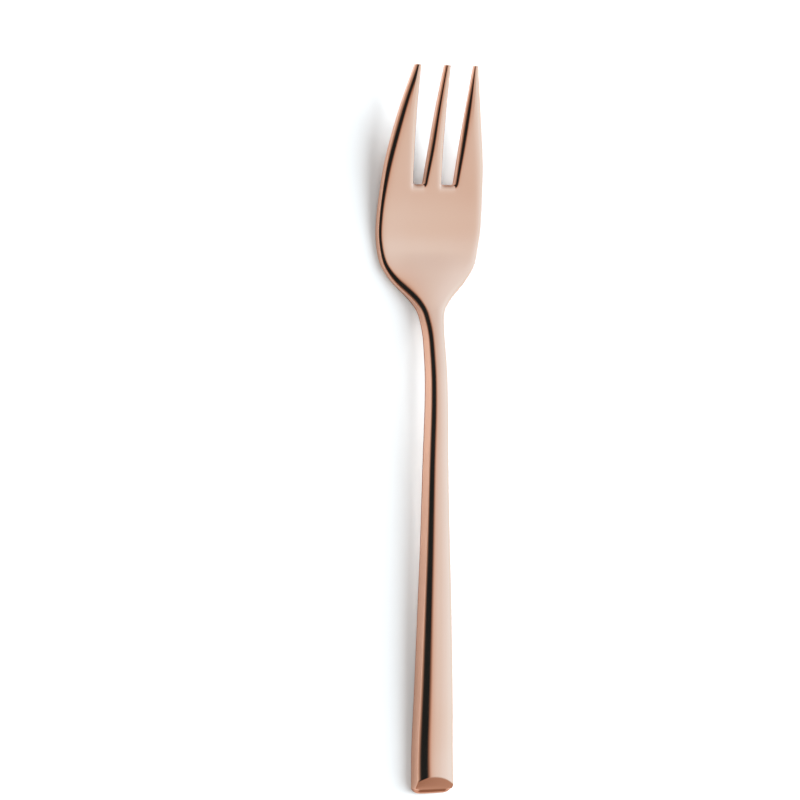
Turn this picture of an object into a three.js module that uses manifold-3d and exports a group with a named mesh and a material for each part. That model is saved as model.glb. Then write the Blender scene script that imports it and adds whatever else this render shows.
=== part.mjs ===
// Three-tine cake fork, forged in one piece: crowned handle with a bevelled end, arched neck,
// flat palm and three tapered tines. Millimetres, +Z up, tines towards +Y, fork lying face up.
// The origin is on the table, under the middle of the fork's length.
//
// A station is a distance along the fork, from 0 at the handle's end to LENGTH at the tips.
// The forging is modelled whole and then divided on flat planes across Y, so that its regions
// are separate meshes that meet face to face.

import * as THREE from 'three';
import { mergeVertices } from 'three/addons/utils/BufferGeometryUtils.js';
import Module from 'manifold-3d';

const wasm = await Module();
wasm.setup();

// Overall size and the stations where the regions meet.
const LENGTH = 150;
const NECK_START = 76;
const PALM_START = 100;
const TINE_START = 127;

// Handle end: a bevel on top, then a short nose, steeper above and undercut below.
const BEVEL_ANGLE = THREE.MathUtils.degToRad(38);
const NOSE_ANGLE = THREE.MathUtils.degToRad(41);
const NOSE_UNDERCUT = THREE.MathUtils.degToRad(28);
const BEVEL_FOOT_STATION = 1.5;
const BEVEL_FOOT_HEIGHT = 2.4;

// Slots between the tines: [x at the root, x at the tips] of each side.
const SLOT_BOTTOM = 125.9;
const SLOT_CORNER = 1;
const LEFT_SLOT = { outer: [-4.7, -6.05], inner: [-2.05, -0.5] };
const RIGHT_SLOT = { outer: [5.07, 6.25], inner: [1.85, 0.75] };

// Edges under the fork are broken by a small chamfer.
const CHAMFER = 0.35;

// Shoulders between the walls and the top are shallow arcs, their height a share of their reach.
// On the handle they are so wide that they meet as a crown; WIDEST_SHOULDER is the most of the
// half width that one may take. Each arc has points at these shares of its reach.
const SHOULDER_SLOPE = 0.26;
const WIDEST_SHOULDER = 0.92;
const SHOULDER_STEPS = [0.1, 0.3, 0.6, 1];

// The handle's crown runs out over the start of the palm, where it lowers the shoulders, and the
// rest of the palm is slightly dished. Stations: where each starts, is full, fades and is gone.
const PALM_CROWN = { share: 0.14, shoulderCut: 0.45, stations: [97, 103, 104, 113] };
const PALM_DISH = { depth: 0.3, stations: [100, 114, 122, 140] };

// Big enough to reach past the fork on every side.
const CUTTER = 60;

const COPPER = { color: 0xdba98c, roughness: 0.12, metalness: 1 };

// The section along the fork, as [station, value] points of smooth curves.
const halfWidth = smoothCurve([
  [0, 2.2], [0.4, 3.2], [0.8, 3.95], [1.6, 4.18], [30, 3.5], [60, 2.5], [88, 1.93], [94, 1.9],
  [98, 2.3], [99.5, 2.65], [101.5, 4], [106.5, 8.95], [110, 10.95], [117, 11.93], [128, 11.4],
  [139, 9.65], [150, 7.2],
]);
const underside = smoothCurve([
  [0, 0], [7, 0], [20, 0.75], [44, 1.75], [68, 2.45], [84, 3.15], [93, 2.4], [101, 0.85],
  [107, 0], [112, 0], [119, 0.95], [128, 2.85], [139, 5.8], [150, 9.5],
]);
const wallHeight = smoothCurve([
  [0, 3.3], [76, 2.95], [95, 2.6], [107, 1.75], [118, 1.6], [126, 1.5], [142, 0.9], [150, 0.75],
]);
const shoulderWidth = smoothCurve([
  [0, 4.2], [80, 2.1], [103, 2.1], [108, 1.6], [114, 1.5], [120, 1.6], [128, 2.05], [140, 1.9],
  [150, 1.4],
]);

// A smooth curve through [station, value] points that never overshoots them.
function smoothCurve(points) {
  const rises = points.slice(1).map(([station, value], i) => {
    return (value - points[i][1]) / (station - points[i][0]);
  });
  const slopes = points.map((point, i) => {
    const before = rises[Math.max(i - 1, 0)];
    const after = rises[Math.min(i, rises.length - 1)];
    return before * after > 0 ? (2 * before * after) / (before + after) : 0;
  });
  return (station) => {
    const next = points.findIndex(([end], i) => i > 0 && station <= end);
    const i = next < 0 ? points.length - 2 : next - 1;
    const span = points[i + 1][0] - points[i][0];
    const t = (station - points[i][0]) / span;
    const start = (1 + 2 * t) * (1 - t) ** 2 * points[i][1] + t * (1 - t) ** 2 * span * slopes[i];
    const end = t * t * (3 - 2 * t) * points[i + 1][1] - t * t * (1 - t) * span * slopes[i + 1];
    return start + end;
  };
}

// Stations of the loft: close together where the fork bends or flares.
function loftStations() {
  const stations = [0, 0.4, 0.8, 1.6, 3];
  for (let station = 6; station <= 90; station += 4) stations.push(station);
  for (let station = 91; station < 122; station += 1) stations.push(station);
  for (let station = 122; station <= LENGTH; station += 2) stations.push(station);
  return stations;
}

// 0 before the start and after the end, 1 between the full and fading stations, smooth between.
function plateau(station, [start, full, fading, end]) {
  const { smoothstep } = THREE.MathUtils;
  return smoothstep(station, start, full) * (1 - smoothstep(station, fading, end));
}

// The outline across the fork at a station, as [x, z] points, anticlockwise seen from the handle.
function section(station) {
  const edge = halfWidth(station);
  const floor = underside(station);
  const wallTop = floor + wallHeight(station);
  const crowned = plateau(station, PALM_CROWN.stations);
  const reach = Math.min(shoulderWidth(station), WIDEST_SHOULDER * edge);
  const rise = SHOULDER_SLOPE * reach * (1 - PALM_CROWN.shoulderCut * crowned);
  const dish = PALM_DISH.depth * plateau(station, PALM_DISH.stations);
  const bulge = PALM_CROWN.share * edge * crowned - dish;
  const across = [...SHOULDER_STEPS.map((step) => edge - reach * step), (edge - reach) / 2];
  const top = across.map((x) => {
    const outward = Math.max(1 - (edge - x) / reach, 0);
    return [x, wallTop + rise * (1 - outward ** 2) + bulge * (1 - (x / edge) ** 2)];
  });
  const right = [[edge - CHAMFER, floor], [edge, floor + CHAMFER], [edge, wallTop], ...top];
  const left = right.map(([x, z]) => [-x, z]).reverse();
  return [...right, ...left];
}

// The closed skin through the sections at all stations.
function forgingGeometry() {
  const stations = loftStations();
  const sections = stations.map(section);
  const count = sections[0].length;
  const positions = sections.flatMap((points, i) => {
    return points.flatMap(([x, z]) => [x, stations[i] - LENGTH / 2, z]);
  });
  const indices = [];
  for (let ring = 0; ring < stations.length - 1; ring += 1) {
    for (let point = 0; point < count; point += 1) {
      const here = ring * count + point;
      const beside = ring * count + ((point + 1) % count);
      indices.push(here, here + count, beside + count, here, beside + count, beside);
    }
  }
  const last = (stations.length - 1) * count;
  for (let point = 1; point < count - 1; point += 1) {
    indices.push(0, point, point + 1, last, last + point + 1, last + point);
  }
  const geometry = new THREE.BufferGeometry();
  geometry.setAttribute('position', new THREE.Float32BufferAttribute(positions, 3));
  geometry.setIndex(indices);
  return geometry;
}

function toSolid(geometry) {
  geometry.deleteAttribute('normal');
  geometry.deleteAttribute('uv');
  const merged = mergeVertices(geometry);
  const vertProperties = new Float32Array(merged.attributes.position.array);
  const triVerts = new Uint32Array(merged.index.array);
  return new wasm.Manifold(new wasm.Mesh({ numProp: 3, vertProperties, triVerts }));
}

function toGeometry(solid) {
  const { vertProperties, triVerts } = solid.getMesh();
  const geometry = new THREE.BufferGeometry();
  geometry.setAttribute('position', new THREE.Float32BufferAttribute(vertProperties, 3));
  geometry.setIndex([...triVerts]);
  geometry.computeVertexNormals();
  return geometry;
}

// A tall block over part of the plan, used to pick out one region of the forging.
function region(firstStation, lastStation, left = -CUTTER / 2, right = CUTTER / 2) {
  const geometry = new THREE.BoxGeometry(right - left, lastStation - firstStation, CUTTER);
  const middle = (firstStation + lastStation - LENGTH) / 2;
  geometry.translate((left + right) / 2, middle, 0);
  return toSolid(geometry);
}

// A slot that widens to the tips from a flat bottom with round corners.
function slotCutter({ outer, inner }) {
  const [left, right] = outer[0] < inner[0] ? [outer, inner] : [inner, outer];
  const tip = LENGTH / 2;
  const corner = SLOT_BOTTOM + SLOT_CORNER - tip;
  const shape = new THREE.Shape();
  shape.moveTo(left[1], tip);
  shape.absarc(left[0] + SLOT_CORNER, corner, SLOT_CORNER, Math.PI, 1.5 * Math.PI, false);
  shape.absarc(right[0] - SLOT_CORNER, corner, SLOT_CORNER, 1.5 * Math.PI, 2 * Math.PI, false);
  shape.lineTo(right[1], tip);
  shape.lineTo(right[1], tip + 1);
  shape.lineTo(left[1], tip + 1);
  const settings = { depth: CUTTER, bevelEnabled: false, curveSegments: 8 };
  const geometry = new THREE.ExtrudeGeometry(shape, settings);
  geometry.translate(0, 0, -CUTTER / 2);
  return toSolid(geometry);
}

// A block above (side 1) or below (side -1) a plane that rises at an angle from the bevel's foot
// station, where it is at the given height.
function endCutter(height, angle, side) {
  const geometry = new THREE.BoxGeometry(CUTTER, CUTTER, CUTTER);
  geometry.translate(0, 0, (side * CUTTER) / 2);
  geometry.rotateX(angle);
  geometry.translate(0, BEVEL_FOOT_STATION - LENGTH / 2, height);
  return toSolid(geometry);
}

function handleSolid(forging) {
  return forging
    .intersect(region(-1, NECK_START))
    .subtract(endCutter(BEVEL_FOOT_HEIGHT, BEVEL_ANGLE, 1))
    .subtract(endCutter(BEVEL_FOOT_HEIGHT, NOSE_ANGLE, 1))
    .subtract(endCutter(0, -NOSE_UNDERCUT, -1));
}

// The regions by name, cut from the whole forging.
function forkSolids() {
  const forging = toSolid(forgingGeometry());
  const slotted = forging.subtract(slotCutter(LEFT_SLOT)).subtract(slotCutter(RIGHT_SLOT));
  const leftSplit = (LEFT_SLOT.outer[0] + LEFT_SLOT.inner[0]) / 2;
  const rightSplit = (RIGHT_SLOT.outer[0] + RIGHT_SLOT.inner[0]) / 2;
  const past = LENGTH + 1;
  return {
    handle: handleSolid(forging),
    neck: forging.intersect(region(NECK_START, PALM_START)),
    palm: slotted.intersect(region(PALM_START, TINE_START)),
    tine_left: slotted.intersect(region(TINE_START, past, -CUTTER / 2, leftSplit)),
    tine_middle: slotted.intersect(region(TINE_START, past, leftSplit, rightSplit)),
    tine_right: slotted.intersect(region(TINE_START, past, rightSplit, CUTTER / 2)),
  };
}

const fork = new THREE.Group();
for (const [name, solid] of Object.entries(forkSolids())) {
  const mesh = new THREE.Mesh(toGeometry(solid), new THREE.MeshStandardMaterial(COPPER));
  mesh.name = name;
  fork.add(mesh);
}

export default fork;
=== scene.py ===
"""Looks for a three-tine cake fork: one seamless copper-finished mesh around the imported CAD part,
a pale floor, soft studio light and a camera above the fork and to its left.

Section sizes are in millimetres, as cutlery is drawn. A station is a distance along the fork, from
0 at the handle's end to the tines' tips. Everything else is in metres, in the row frame.
"""

import math

import bpy
from mathutils import Matrix, Vector


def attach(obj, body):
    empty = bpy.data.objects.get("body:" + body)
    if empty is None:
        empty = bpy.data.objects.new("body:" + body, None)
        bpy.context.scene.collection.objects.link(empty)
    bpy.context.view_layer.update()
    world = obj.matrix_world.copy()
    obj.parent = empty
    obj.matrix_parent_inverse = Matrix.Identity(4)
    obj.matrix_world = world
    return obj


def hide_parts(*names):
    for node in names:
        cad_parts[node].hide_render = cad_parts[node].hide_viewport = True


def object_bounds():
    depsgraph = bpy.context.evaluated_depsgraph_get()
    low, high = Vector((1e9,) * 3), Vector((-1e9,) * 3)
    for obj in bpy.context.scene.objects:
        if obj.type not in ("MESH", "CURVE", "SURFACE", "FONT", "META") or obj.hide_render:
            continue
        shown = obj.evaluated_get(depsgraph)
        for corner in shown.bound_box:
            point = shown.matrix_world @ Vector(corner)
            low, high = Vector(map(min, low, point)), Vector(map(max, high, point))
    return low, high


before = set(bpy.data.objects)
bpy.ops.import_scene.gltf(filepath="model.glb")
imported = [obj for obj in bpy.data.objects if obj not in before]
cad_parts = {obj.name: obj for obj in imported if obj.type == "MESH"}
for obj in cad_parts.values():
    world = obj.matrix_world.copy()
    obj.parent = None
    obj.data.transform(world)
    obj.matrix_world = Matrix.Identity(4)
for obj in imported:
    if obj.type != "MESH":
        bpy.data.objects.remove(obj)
cad_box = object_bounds()

MM = 0.001
LOW, HIGH = (Vector(corner) for corner in cad_box)
LENGTH = (HIGH.y - LOW.y) / MM

# Handle end: a ground bevel, a little higher on its right and very slightly crowned, and a rounded
# nose in front of its foot: its slope, the power of its curve across, and its reach at each of the
# wall's levels.
BEVEL_ANGLE = math.radians(38)
BEVEL_FOOT = 1.5
BEVEL_FOOT_HEIGHT = 2.4
BEVEL_SKEW = 0.08
BEVEL_CROWN = 0.06
NOSE_ANGLE = math.radians(41)
NOSE_ROUNDNESS = 8
NOSE_REACH = (0.2, 0.55, 1.1, 0.95)

# Slots between the tines: where they end, x of each side at the root and at the tips, the round
# corners, how far the underside is raised beside them, and how far their upper edges are lowered.
ROOT = 125.5
SLOT_SIDES = ((-4.7, -6.05), (-2.05, -0.5), (1.85, 0.75), (5.07, 6.25))
SLOT_CORNER = 1.0
SLOT_UNDERCUT = 0.65
SLOT_EDGE_DROP = 0.3

# Heights of the walls' lengthwise edges, as shares of the wall's height, and how far the underside
# is drawn in from them. Subdivision then rounds every edge of the cage.
WALL_LEVELS = (0.86, 0.7, 0.33, 0.13)
BOTTOM_ROUNDING = 0.3
SUBDIVISIONS = 2

# Where the lengthwise edges stop following the handle's width and start to follow the tines, and
# the station from which the rising head is cut square to its own slope.
SPREAD = (96.0, 120.0)
HEEL = 112.0

# Every shoulder has one shape, a shallow arc that turns down into the wall: its height as a share
# of its reach, how much of it is the turned-down part, and its lengthwise edges as shares of its
# reach. On the handle two of them make a crown.
SHOULDER_SLOPE = 0.26
SHOULDER_TURN = 0.15
SHOULDER_EDGES = (0, 0.07, 0.3, 0.6, 1)

# A tine has a shoulder on each side and one lengthwise edge down its middle. Its shoulders beside
# the slots and its slight crown are whole a little way past the root.
TINE_COLUMNS = 2 * len(SHOULDER_EDGES) + 1
TINE_CROWN = 0.1
TINE_SHOULDERS_WHOLE = ROOT + 3
TINE_CROWN_WHOLE = ROOT + 8

# The handle's crown runs out over the start of the palm: its height there as a share of the half
# width, how much lower the shoulders are beside it, and the stations where it starts, is full,
# fades and is gone. The rest of the palm is slightly dished.
PALM_CROWN = 0.14
CROWNED_SHOULDER_CUT = 0.45
CROWN_STATIONS = (97, 103, 104, 113)
DISH_DEPTH = 0.3
DISH_STATIONS = (100, 114, 122, 140)

# Crosswise edges: shares of the bevel, distances past it, then stations, which are close together
# where the fork bends or flares.
BEVEL_ROWS = (0, 0.08, 0.35, 0.65, 0.87, 1)
PAST_BEVEL_ROWS = (0.3, 0.8)
HANDLE_ROWS = (5.5, 7.5, 10, *range(14, 88, 4), 88, 90, 92, 94, 96)
PALM_ROWS = (*range(97, 113), 114, 116, 118, 120, 122, 123.5, 124.7)
TINE_ROWS = (ROOT, ROOT + SLOT_CORNER, 128, 130, *range(133, 149, 3), 148.6, 149.3, 149.65)

# How much painted shade deepens the copper's tone on the walls' upper and lower edges, and on the
# bevel from its left to its right, where it is full from this share of the way up. It stands in for
# darker reflections of the shaded floor and surroundings. The nose and the slot bottoms get it in
# full.
RIM_PAINTED_SHADE = {"top": 0.35, "bottom": 1.0}
BEVEL_PAINTED_SHADE = (0.6, 0)
BEVEL_PAINTED_SHADE_FULL = 0.5

# Copper coating: its base colours, then the features per metre along each axis, the detail and the
# used range of the noise behind its clouds and its polishing marks. The marks set the roughness and
# a bump of the given depth, in metres, and strength.
COPPER = (0.92, 0.665, 0.54)
COPPER_CLOUD = (0.91, 0.65, 0.52)
# Deepest tone of the painted edge shade: a darker reflection painted into the copper's colour.
PAINTED_EDGE_SHADE = (0.50, 0.27, 0.18)
CLOUDS = (90, 40, 90)
CLOUD_DETAIL = 2
CLOUD_RANGE = (0.35, 0.65)
POLISHING_MARKS = (2600, 110, 2600)
MARK_DETAIL = 4
MARK_RANGE = (0.3, 0.7)
MARK_DEPTH = 0.000004
MARK_STRENGTH = 0.15
ROUGHNESS = (0.07, 0.12)

# Camera: a long lens, its position given by its tilt to the fork's left and its roll. The width is
# what it sees at its distance, the offset is where it aims, and the sensor is in millimetres.
VIEW_TILT = math.radians(27.7)
VIEW_ROLL = math.radians(0.346)
VIEW_DISTANCE = 0.9
VIEW_WIDTH = 0.1648
VIEW_OFFSET = Vector((-0.00537, 0.00642))
SENSOR_WIDTH = 36

# Floor, and the light that only the floor sees: metal reflects the studio instead. The light is
# warm and the floor cool, so that the floor's shadows under the warm studio are a neutral grey.
# Each light has a name, a tilt to the fork's right, a distance, a size and a power in watts.
FLOOR_SIZE = 12
FLOOR_GAP = 0.00002
FLOOR_ROUGHNESS = 0.9
FLOOR_COLOUR = (0.70, 0.86, 0.94)
FLOOR_IN_METAL = (0.66, 0.65, 0.635)
FLOOR_LIGHT_COLOUR = (1, 0.86, 0.81)
FLOOR_LIGHTS = (
    ("key_light", math.radians(52), 1.5, 2.4, 50),
    ("low_light", math.radians(77), 1.6, 0.6, 35),
    ("fill_light", math.radians(-27), 1.6, 1.2, 11),
)

# What the polished metal reflects, by the angle in degrees from straight up towards the fork's
# right.
STUDIO = (
    (-90, (0.66, 0.56, 0.52)), (-67, (0.65, 0.54, 0.50)), (-45, (0.62, 0.51, 0.46)),
    (-32, (0.55, 0.43, 0.38)), (-26, (0.38, 0.26, 0.21)), (-20, (0.03, 0.03, 0.03)),
    (-17, (0.014, 0.02, 0.023)), (-1, (0.014, 0.02, 0.023)), (3, (0.31, 0.18, 0.13)),
    (7, (0.66, 0.50, 0.43)), (12, (0.765, 0.71, 0.69)), (20, (0.785, 0.785, 0.81)),
    (28, (0.815, 0.86, 0.90)), (42, (0.865, 0.965, 1.065)), (52, (0.89, 1.02, 1.13)),
    (65, (0.93, 1.12, 1.27)), (90, (0.93, 1.10, 1.22)),
)
# The same light fades and warms towards the fork's ends: what is left of it at each angle
# from straight up towards the tips.
STUDIO_ENDS = (
    (-90, (0.75, 0.58, 0.50)), (-60, (0.69, 0.49, 0.40)), (-50, (0.64, 0.44, 0.35)),
    (-34, (0.76, 0.61, 0.535)), (-23, (0.885, 0.75, 0.665)), (-15, (0.95, 0.87, 0.81)),
    (-5, (0.99, 0.96, 0.935)), (3, (1.0, 0.985, 0.97)), (14, (0.965, 0.94, 0.925)),
    (25, (0.91, 0.865, 0.845)), (40, (0.88, 0.825, 0.795)), (90, (0.75, 0.68, 0.64)),
)
# Between these angles towards either end the studio turns into a wall that is the same all the way
# across, with no dark ceiling.
END_WALL = (0.72, 0.66, 0.62)
END_WALL_ANGLES = (math.radians(42), math.radians(60))


def smooth_curve(points):
    """A smooth curve through (station, value) points that never overshoots them."""
    rises = [(b[1] - a[1]) / (b[0] - a[0]) for a, b in zip(points, points[1:])]
    slopes = []
    for i in range(len(points)):
        before = rises[max(i - 1, 0)]
        after = rises[min(i, len(rises) - 1)]
        slopes.append(2 * before * after / (before + after) if before * after > 0 else 0)

    def value(station):
        later = [i for i in range(1, len(points)) if station <= points[i][0]]
        i = later[0] - 1 if later else len(points) - 2
        span = points[i + 1][0] - points[i][0]
        t = (station - points[i][0]) / span
        start = (1 + 2 * t) * (1 - t) ** 2 * points[i][1] + t * (1 - t) ** 2 * span * slopes[i]
        end = t * t * (3 - 2 * t) * points[i + 1][1] - t * t * (1 - t) * span * slopes[i + 1]
        return start + end

    return value


half_width = smooth_curve([
    (0, 2.2), (0.4, 3.2), (0.8, 3.95), (1.6, 4.18), (30, 3.5), (60, 2.5), (88, 1.93), (94, 1.9),
    (98, 2.3), (99.5, 2.65), (101.5, 4), (106.5, 8.95), (110, 10.95), (117, 11.93), (128, 11.4),
    (139, 9.65), (150, 7.2),
])
underside = smooth_curve([
    (0, 0), (7, 0), (20, 0.75), (44, 1.75), (68, 2.45), (84, 3.15), (93, 2.4), (101, 0.85),
    (107, 0), (112, 0), (119, 0.95), (128, 2.85), (139, 5.8), (150, 9.5),
])
wall_height = smooth_curve([
    (0, 3.3), (76, 2.95), (95, 2.6), (107, 1.75), (118, 1.6), (126, 1.5), (142, 0.9), (150, 0.75),
])
shoulder_width = smooth_curve([
    (0, 4.2), (80, 2.1), (103, 2.1), (108, 1.6), (114, 1.5), (120, 1.6), (128, 2.05), (140, 1.9),
    (150, 1.4),
])
slot_shoulder = smooth_curve([(ROOT, 1.1), (130, 1.35), (138, 1.6), (150, 1.2)])


def smooth_step(start, end, value):
    """0 up to the start, 1 from the end on, and smooth between."""
    t = min(max((value - start) / (end - start), 0), 1)
    return t * t * (3 - 2 * t)


def plateau(station, start, full, fading, end):
    """1 between the full and fading stations, falling smoothly to 0 at the start and the end."""
    return smooth_step(start, full, station) * (1 - smooth_step(fading, end, station))


def mix(a, b, share):
    """The value a share of the way from a to b."""
    return a + (b - a) * share


def shoulder(distance, reach):
    """Share of a shoulder's full height at a distance in from its edge."""
    outward = 1 - min(max(distance / reach, 0), 1)
    arc = 1 - outward ** 2
    return mix(arc, math.sqrt(arc), SHOULDER_TURN)


def shoulder_reach(station):
    """How far in from the wall a shoulder reaches: the middle of the fork at most."""
    return min(shoulder_width(station), half_width(station))


def slot_sides(station):
    """x of the four slot sides: constant below the root, then straight to the tips."""
    share = max(station - ROOT, 0) / (LENGTH - ROOT)
    return [mix(root, tip, share) for root, tip in SLOT_SIDES]


def tine_shoulders(tine, left, right, station):
    """Reach of the rounded shoulders on a tine's two sides, numbered from the left tine, 0."""
    outer = shoulder_reach(station)
    inner = slot_shoulder(max(station, ROOT))
    widest = (right - left) / 2
    return min(outer if tine == 0 else inner, widest), min(outer if tine == 2 else inner, widest)


def tine_columns(tine, left, right, station):
    """x of the lengthwise edges over one tine: those of both shoulders, and one down the middle."""
    left_reach, right_reach = tine_shoulders(tine, left, right, station)
    from_left = [left + left_reach * share for share in SHOULDER_EDGES]
    from_right = [right - right_reach * share for share in reversed(SHOULDER_EDGES)]
    middle = (from_left[-1] + from_right[0]) / 2
    return from_left + [middle] + from_right


def head_columns(station):
    """x of every lengthwise edge where the edges follow the tines and slots."""
    edge = half_width(station)
    scale = min(edge / half_width(ROOT), 1)
    slots = slot_sides(station)
    if station < ROOT:
        slots = [side * scale for side in slots]
    sides = [-edge, *slots, edge]
    corner = SLOT_CORNER * scale
    columns = tine_columns(0, sides[0], sides[1], station)
    for tine in (1, 2):
        left, right = sides[2 * tine], sides[2 * tine + 1]
        columns += [columns[-1] + corner, left - corner]
        columns += tine_columns(tine, left, right, station)
    return columns


LAST_COLUMN = len(head_columns(ROOT)) - 1
TINE_FIRST_COLUMNS = range(0, LAST_COLUMN, TINE_COLUMNS + 2)
TINES = [range(first, first + TINE_COLUMNS) for first in TINE_FIRST_COLUMNS]


def column_share(column):
    """Place of a lengthwise edge across the handle, from -1 to 1, closer together at the sides."""
    even = 2 * column / LAST_COLUMN - 1
    return (even - math.cos(math.pi * column / LAST_COLUMN)) / 2


def column_x(column, station):
    """x of a lengthwise edge at a station."""
    slim = column_share(column) * half_width(station)
    return mix(slim, head_columns(station)[column], smooth_step(*SPREAD, station))


def tine_of(column):
    """Number of the tine that a lengthwise edge is on, or None between the tines."""
    return next((number for number, tine in enumerate(TINES) if column in tine), None)


def palm_dish(x, station):
    """How far the middle of the palm is hollowed below its sides."""
    depth = DISH_DEPTH * plateau(station, *DISH_STATIONS)
    return depth * (1 - min(abs(x) / half_width(station), 1) ** 2)


def whole_rise(x, station):
    """Rise of the fork's top over its walls, as if the head had no slots."""
    edge = half_width(station)
    reach = shoulder_reach(station)
    crowned = plateau(station, *CROWN_STATIONS)
    rise = SHOULDER_SLOPE * reach * (1 - CROWNED_SHOULDER_CUT * crowned)
    crown = PALM_CROWN * edge * crowned * (1 - (x / edge) ** 2)
    return rise * shoulder(edge - abs(x), reach) + crown - palm_dish(x, station)


def slot_drop(tine, left, right, x, station):
    """How far a tine's shoulders beside the slots lower its top."""
    left_reach, right_reach = tine_shoulders(tine, left, right, station)
    divided = smooth_step(ROOT, TINE_SHOULDERS_WHOLE, station)
    drop = 0
    if tine > 0:
        left_height = mix(SLOT_EDGE_DROP, SHOULDER_SLOPE * left_reach, divided)
        drop += left_height * (1 - shoulder(x - left, left_reach))
    if tine < 2:
        right_height = mix(SLOT_EDGE_DROP, SHOULDER_SLOPE * right_reach, divided)
        drop += right_height * (1 - shoulder(right - x, right_reach))
    return drop


def top_height(column, station):
    """Height of the fork's top over the table, without the bevel."""
    x = column_x(column, station)
    height = underside(station) + wall_height(station) + whole_rise(x, station)
    if station < ROOT:
        return height
    tine = tine_of(column)
    if tine is None:
        return height - SLOT_EDGE_DROP
    left = column_x(TINES[tine][0], station)
    right = column_x(TINES[tine][-1], station)
    bulge = 1 - ((2 * x - left - right) / (right - left)) ** 2
    crown = TINE_CROWN * bulge * smooth_step(ROOT, TINE_CROWN_WHOLE, station)
    return height - slot_drop(tine, left, right, x, station) + crown


def bevel_height(x, station):
    """Height of the bevel, which is very slightly crowned across."""
    along = (station - BEVEL_FOOT) * math.tan(BEVEL_ANGLE)
    crown = BEVEL_CROWN * (1 - (x / half_width(BEVEL_FOOT)) ** 2)
    return BEVEL_FOOT_HEIGHT + along + x * BEVEL_SKEW + crown


def bevel_arc(column):
    """Station where the bevel meets the crowned top."""
    reach = shoulder_reach(BEVEL_FOOT)
    x = column_share(column) * half_width(BEVEL_FOOT)
    inward = half_width(BEVEL_FOOT) - abs(x)
    top = wall_height(BEVEL_FOOT) + SHOULDER_SLOPE * reach * shoulder(inward, reach)
    return BEVEL_FOOT + (top - bevel_height(x, BEVEL_FOOT)) / math.tan(BEVEL_ANGLE)


def crosswise_edges():
    """Every crosswise edge as (share of the bevel, distance past it), or (None, station)."""
    rows = [(share, 0) for share in BEVEL_ROWS]
    rows += [(1, distance) for distance in PAST_BEVEL_ROWS]
    rows += [(None, station) for station in (*HANDLE_ROWS, *PALM_ROWS, *TINE_ROWS)]
    return rows


ROWS = crosswise_edges()
ROOT_ROW = ROWS.index((None, ROOT))


def row_station(row, column):
    """Station of a crosswise edge where it meets a lengthwise one."""
    share, place = ROWS[row]
    if share is None:
        return place
    return BEVEL_FOOT + share * (bevel_arc(column) - BEVEL_FOOT) + place


def on_bevel(row):
    """Whether a crosswise edge lies on the bevel."""
    share, place = ROWS[row]
    return share is not None and place == 0


def top_point(row, column):
    """Point of the fork's top, or of its bevel, where two edges meet."""
    station = row_station(row, column)
    x = column_x(column, station)
    height = bevel_height(x, station) if on_bevel(row) else top_height(column, station)
    return Vector((x, station, height))


def lean(station):
    """How far the bottom of a section is ahead of its top, because the rising head is cut square."""
    if station < HEEL:
        return 0
    # The rise over one millimetre.
    slope = underside(station + 0.5) - underside(station - 0.5)
    return max(slope, 0) * (wall_height(station) + SHOULDER_SLOPE * shoulder_reach(station))


def has_cell(row, column):
    """Whether the fork has material between this crosswise edge and the next, right of a column."""
    if not (0 <= row < len(ROWS) - 1 and 0 <= column < LAST_COLUMN):
        return False
    in_a_tine = any(column in tine and column + 1 in tine for tine in TINES)
    return row < ROOT_ROW or in_a_tine


def cell_corners(row, column):
    """Grid points round a cell of the cage, anticlockwise from above."""
    return [(row, column), (row, column + 1), (row + 1, column + 1), (row + 1, column)]


def boundary_edges(cells):
    """The outline of the cage seen from above, as (start, end) grid points, anticlockwise."""
    edges = []
    for row, column in cells:
        corners = cell_corners(row, column)
        beside = [(row - 1, column), (row, column + 1), (row + 1, column), (row, column - 1)]
        for i, neighbour in enumerate(beside):
            if not has_cell(*neighbour):
                edges.append((corners[i], corners[(i + 1) % 4]))
    return edges


def outward_directions(edges, points):
    """The plan direction out of the fork at each grid point of its outline."""
    totals = {}
    for start, end in edges:
        along = points[end] - points[start]
        out = Vector((along.y, -along.x, 0)).normalized()
        for point in (start, end):
            totals[point] = totals.get(point, Vector((0, 0, 0))) + out
    return {point: total.normalized() for point, total in totals.items()}


def nose_point(column, level, foot, bottom):
    """Station and height of the rounded nose in front of the bevel's foot."""
    reach = (1 - abs(column_share(column)) ** NOSE_ROUNDNESS) * NOSE_REACH[level]
    if level == len(WALL_LEVELS) - 1:
        return BEVEL_FOOT - reach, mix(bottom.z, foot.z, WALL_LEVELS[level])
    return BEVEL_FOOT - reach, foot.z - NOSE_REACH[level] * math.tan(NOSE_ANGLE)


def wall_point(key, top, bottom, level):
    """Point of a wall, or of the nose, at one of the wall's levels."""
    row, column = key
    if row == 0:
        station, height = nose_point(column, level, top, bottom)
        return Vector((top.x, station, height))
    share = WALL_LEVELS[level]
    return Vector((top.x, mix(bottom.y, top.y, share), mix(bottom.z, top.z, share)))


def bottom_point(key, top, out):
    """Point of the underside, drawn in from the wall where there is one and raised in the slots."""
    row, column = key
    x = top.x
    y = top.y + lean(top.y)
    z = underside(min(y, LENGTH))
    if out is not None:
        x -= out.x * BOTTOM_ROUNDING
    if out is not None and row > 0:
        y -= out.y * BOTTOM_ROUNDING
    in_slot = out is not None and row >= ROOT_ROW and 0 < column < LAST_COLUMN
    if in_slot and row < len(ROWS) - 1:
        z += SLOT_UNDERCUT
    return Vector((x, y, z))


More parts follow.
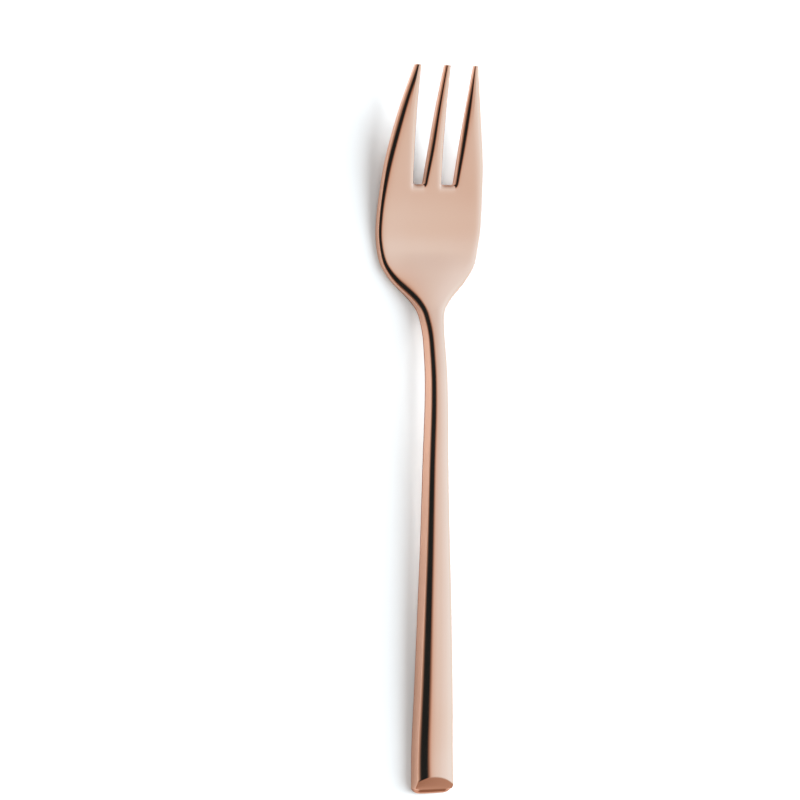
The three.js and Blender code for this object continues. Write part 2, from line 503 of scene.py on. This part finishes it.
def painted_edge_shade(layer, last_layer, key, on_outline):
    """How much painted shade, a darker reflection painted into the colour, one vertex of the cage
    gets, 0 to 1.
    """
    row, column = key
    if row == 0 and layer > 0:
        return 1.0
    if layer == 0 and on_bevel(row):
        across = (column_share(column) + 1) / 2
        up = ROWS[row][0]
        return mix(*BEVEL_PAINTED_SHADE, across) * smooth_step(0, BEVEL_PAINTED_SHADE_FULL, up)
    if not on_outline:
        return 0.0
    if tine_of(column) is None and row >= ROOT_ROW:
        return 1.0
    return {0: RIM_PAINTED_SHADE["top"], last_layer: RIM_PAINTED_SHADE["bottom"]}.get(layer, 0.0)


def cage_faces(cells, edges, index, last):
    """Faces over and under every cell, and down the walls from layer to layer."""
    faces = []
    for cell in cells:
        corners = cell_corners(*cell)
        faces.append([index[0, corner] for corner in corners])
        faces.append([index[last, corner] for corner in reversed(corners)])
    for start, end in edges:
        for layer in range(last):
            below = [index[layer + 1, start], index[layer + 1, end]]
            faces.append([*below, index[layer, end], index[layer, start]])
    return faces


def fork_cage():
    """Vertices (mm, by station) and faces of the control cage, and each vertex's share of painted
    edge shade.
    """
    cells = [(r, c) for r in range(len(ROWS)) for c in range(LAST_COLUMN + 1) if has_cell(r, c)]
    keys = sorted({(r + i, c + j) for r, c in cells for i in (0, 1) for j in (0, 1)})
    top = {key: top_point(*key) for key in keys}
    edges = boundary_edges(cells)
    out = outward_directions(edges, top)
    bottom = {key: bottom_point(key, top[key], out.get(key)) for key in keys}
    layers = [top]
    for level in range(len(WALL_LEVELS)):
        layers.append({key: wall_point(key, top[key], bottom[key], level) for key in out})
    layers.append(bottom)

    places = []
    edge_shades = []
    index = {}
    last = len(layers) - 1
    for number, layer in enumerate(layers):
        for key, place in layer.items():
            index[number, key] = len(places)
            places.append(place)
            edge_shades.append(painted_edge_shade(number, last, key, key in out))
    return places, cage_faces(cells, edges, index, last), edge_shades


def make_fork():
    """The whole fork as one smooth mesh, its station 0 at the CAD box's near end."""
    places, faces, edge_shades = fork_cage()
    mesh = bpy.data.meshes.new("fork")
    origin = Vector(((LOW.x + HIGH.x) / 2, LOW.y, LOW.z))
    mesh.from_pydata([origin + place * MM for place in places], [], faces)
    # The painted edge shade goes with the mesh as a vertex attribute.
    mesh.attributes.new("painted_edge_shade", "FLOAT", "POINT").data.foreach_set("value", edge_shades)
    mesh.validate()
    mesh.shade_smooth()
    fork = bpy.data.objects.new("fork", mesh)
    bpy.context.scene.collection.objects.link(fork)
    rounding = fork.modifiers.new("rounding", "SUBSURF")
    rounding.levels = SUBDIVISIONS
    rounding.render_levels = SUBDIVISIONS
    return fork


def fine_noise(tree, coordinates, stretch, detail):
    """Noise with a number of features per metre along each axis."""
    mapping = tree.nodes.new("ShaderNodeMapping")
    mapping.inputs["Scale"].default_value = stretch
    noise = tree.nodes.new("ShaderNodeTexNoise")
    noise.inputs["Scale"].default_value = 1
    noise.inputs["Detail"].default_value = detail
    tree.links.new(coordinates, mapping.inputs["Vector"])
    tree.links.new(mapping.outputs["Vector"], noise.inputs["Vector"])
    return noise.outputs["Fac"]


def remap(tree, value, low, high, to_low, to_high):
    """Maps a socket's low..high to to_low..to_high, without going past them."""
    node = tree.nodes.new("ShaderNodeMapRange")
    node.inputs["From Min"].default_value = low
    node.inputs["From Max"].default_value = high
    node.inputs["To Min"].default_value = to_low
    node.inputs["To Max"].default_value = to_high
    tree.links.new(value, node.inputs["Value"])
    return node.outputs["Result"]


def blend_colours(tree, share, first, second):
    """Mixes two colours, each a tuple or a socket, by a socket from 0 to 1."""
    node = tree.nodes.new("ShaderNodeMix")
    node.data_type = "RGBA"
    tree.links.new(share, node.inputs["Factor"])
    for socket, colour in ((node.inputs["A"], first), (node.inputs["B"], second)):
        if isinstance(colour, tuple):
            socket.default_value = (*colour, 1)
        else:
            tree.links.new(colour, socket)
    return node.outputs["Result"]


def copper_finish():
    """Mirror-polished copper coating on steel, with a deeper tone painted on its edges, bevel, nose
    and slot bottoms as shade and darker reflections.
    """
    material = bpy.data.materials.new("copper_finish")
    material.use_nodes = True
    tree = material.node_tree
    shader = tree.nodes["Principled BSDF"]
    shader.inputs["Metallic"].default_value = 1
    place = tree.nodes.new("ShaderNodeTexCoord").outputs["Object"]

    clouds = fine_noise(tree, place, CLOUDS, CLOUD_DETAIL)
    tone = blend_colours(tree, remap(tree, clouds, *CLOUD_RANGE, 0, 1), COPPER, COPPER_CLOUD)
    # Painted shade: the copper deepens towards its deepest tone where the painted edge shade is
    # full.
    edges = tree.nodes.new("ShaderNodeAttribute")
    edges.attribute_name = "painted_edge_shade"
    shaded_tone = blend_colours(tree, edges.outputs["Fac"], tone, PAINTED_EDGE_SHADE)
    tree.links.new(shaded_tone, shader.inputs["Base Color"])

    marks = fine_noise(tree, place, POLISHING_MARKS, MARK_DETAIL)
    tree.links.new(remap(tree, marks, *MARK_RANGE, *ROUGHNESS), shader.inputs["Roughness"])
    bump = tree.nodes.new("ShaderNodeBump")
    bump.inputs["Strength"].default_value = MARK_STRENGTH
    bump.inputs["Distance"].default_value = MARK_DEPTH
    tree.links.new(marks, bump.inputs["Height"])
    tree.links.new(bump.outputs["Normal"], shader.inputs["Normal"])
    return material


def make_camera():
    """The scene's camera, over the fork and tilted to its left."""
    camera = bpy.data.objects.new("camera", bpy.data.cameras.new("camera"))
    bpy.context.scene.collection.objects.link(camera)
    camera.data.sensor_width = SENSOR_WIDTH
    camera.data.lens = SENSOR_WIDTH * VIEW_DISTANCE / VIEW_WIDTH
    toward = Vector((-math.sin(VIEW_TILT), 0, math.cos(VIEW_TILT)))
    right = Vector((math.cos(VIEW_TILT), 0, math.sin(VIEW_TILT)))
    up = Vector((0, 1, 0))
    rolled_right = math.cos(VIEW_ROLL) * right - math.sin(VIEW_ROLL) * up
    rolled_up = math.sin(VIEW_ROLL) * right + math.cos(VIEW_ROLL) * up
    aim = rolled_right * VIEW_OFFSET.x + rolled_up * VIEW_OFFSET.y
    place = aim + toward * VIEW_DISTANCE
    turn = Matrix((rolled_right, rolled_up, toward)).transposed().to_4x4()
    camera.matrix_world = Matrix.Translation(place) @ turn
    bpy.context.scene.camera = camera


def make_floor():
    """A wide pale floor just below the fork, slightly greyer where the metal reflects it."""
    bpy.ops.mesh.primitive_plane_add(size=FLOOR_SIZE, location=(0, 0, -FLOOR_GAP))
    floor = bpy.context.object
    floor.name = "floor"
    material = bpy.data.materials.new("floor_paper")
    material.use_nodes = True
    tree = material.node_tree
    shader = tree.nodes["Principled BSDF"]
    in_metal = tree.nodes.new("ShaderNodeLightPath").outputs["Is Glossy Ray"]
    colour = blend_colours(tree, in_metal, FLOOR_COLOUR, FLOOR_IN_METAL)
    tree.links.new(colour, shader.inputs["Base Color"])
    shader.inputs["Roughness"].default_value = FLOOR_ROUGHNESS
    floor.data.materials.append(material)


def math_node(tree, operation, *values):
    """The result of a Math node on one or two sockets."""
    node = tree.nodes.new("ShaderNodeMath")
    node.operation = operation
    for value, socket in zip(values, node.inputs):
        tree.links.new(value, socket)
    return node.outputs["Value"]


def angle_ramp(tree, angle, stops):
    """A colour for an angle socket in radians, from stops between -90 and 90 degrees."""
    ramp = tree.nodes.new("ShaderNodeValToRGB")
    elements = ramp.color_ramp.elements
    while len(elements) < len(stops):
        elements.new(0.5)
    for element, (degrees, colour) in zip(elements, stops):
        element.position = (degrees + 90) / 180
        element.color = (*colour, 1)
    share = remap(tree, angle, math.radians(-90), math.radians(90), 0, 1)
    tree.links.new(share, ramp.inputs["Fac"])
    return ramp.outputs["Color"]


def make_world():
    """The studio round the fork: a light panel on its right, a dark ceiling over its left, a pale
    wall on its left and a plain wall past either end."""
    world = bpy.data.worlds.new("studio")
    bpy.context.scene.world = world
    world.use_nodes = True
    tree = world.node_tree
    place = tree.nodes.new("ShaderNodeTexCoord").outputs["Generated"]
    axes = tree.nodes.new("ShaderNodeSeparateXYZ")
    tree.links.new(place, axes.inputs["Vector"])

    sideways = math_node(tree, "ARCTAN2", axes.outputs["X"], axes.outputs["Z"])
    across = angle_ramp(tree, sideways, STUDIO)
    endways = math_node(tree, "ARCSINE", axes.outputs["Y"])
    along = angle_ramp(tree, endways, STUDIO_ENDS)
    at_end = remap(tree, math_node(tree, "ABSOLUTE", endways), *END_WALL_ANGLES, 0, 1)
    walls = blend_colours(tree, at_end, across, END_WALL)

    both = tree.nodes.new("ShaderNodeMix")
    both.data_type = "RGBA"
    both.blend_type = "MULTIPLY"
    both.inputs["Factor"].default_value = 1
    tree.links.new(walls, both.inputs["A"])
    tree.links.new(along, both.inputs["B"])
    tree.links.new(both.outputs["Result"], tree.nodes["Background"].inputs["Color"])


def make_floor_light(name, tilt, distance, size, power):
    """A big soft light over the fork, tilted to its right, that only the floor sees."""
    light = bpy.data.objects.new(name, bpy.data.lights.new(name, "AREA"))
    bpy.context.scene.collection.objects.link(light)
    light.data.size = size
    light.data.energy = power
    light.data.color = FLOOR_LIGHT_COLOUR
    toward = Vector((math.sin(tilt), 0, math.cos(tilt)))
    light.location = toward * distance
    light.rotation_euler = (0, tilt, 0)
    light.visible_camera = False
    light.visible_glossy = False


fork = make_fork()
fork.data.materials.append(copper_finish())
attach(fork, "root")
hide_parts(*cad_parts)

make_camera()
make_floor()
make_world()
for floor_light in FLOOR_LIGHTS:
    make_floor_light(*floor_light)
bpy.context.scene.view_settings.view_transform = "Standard"
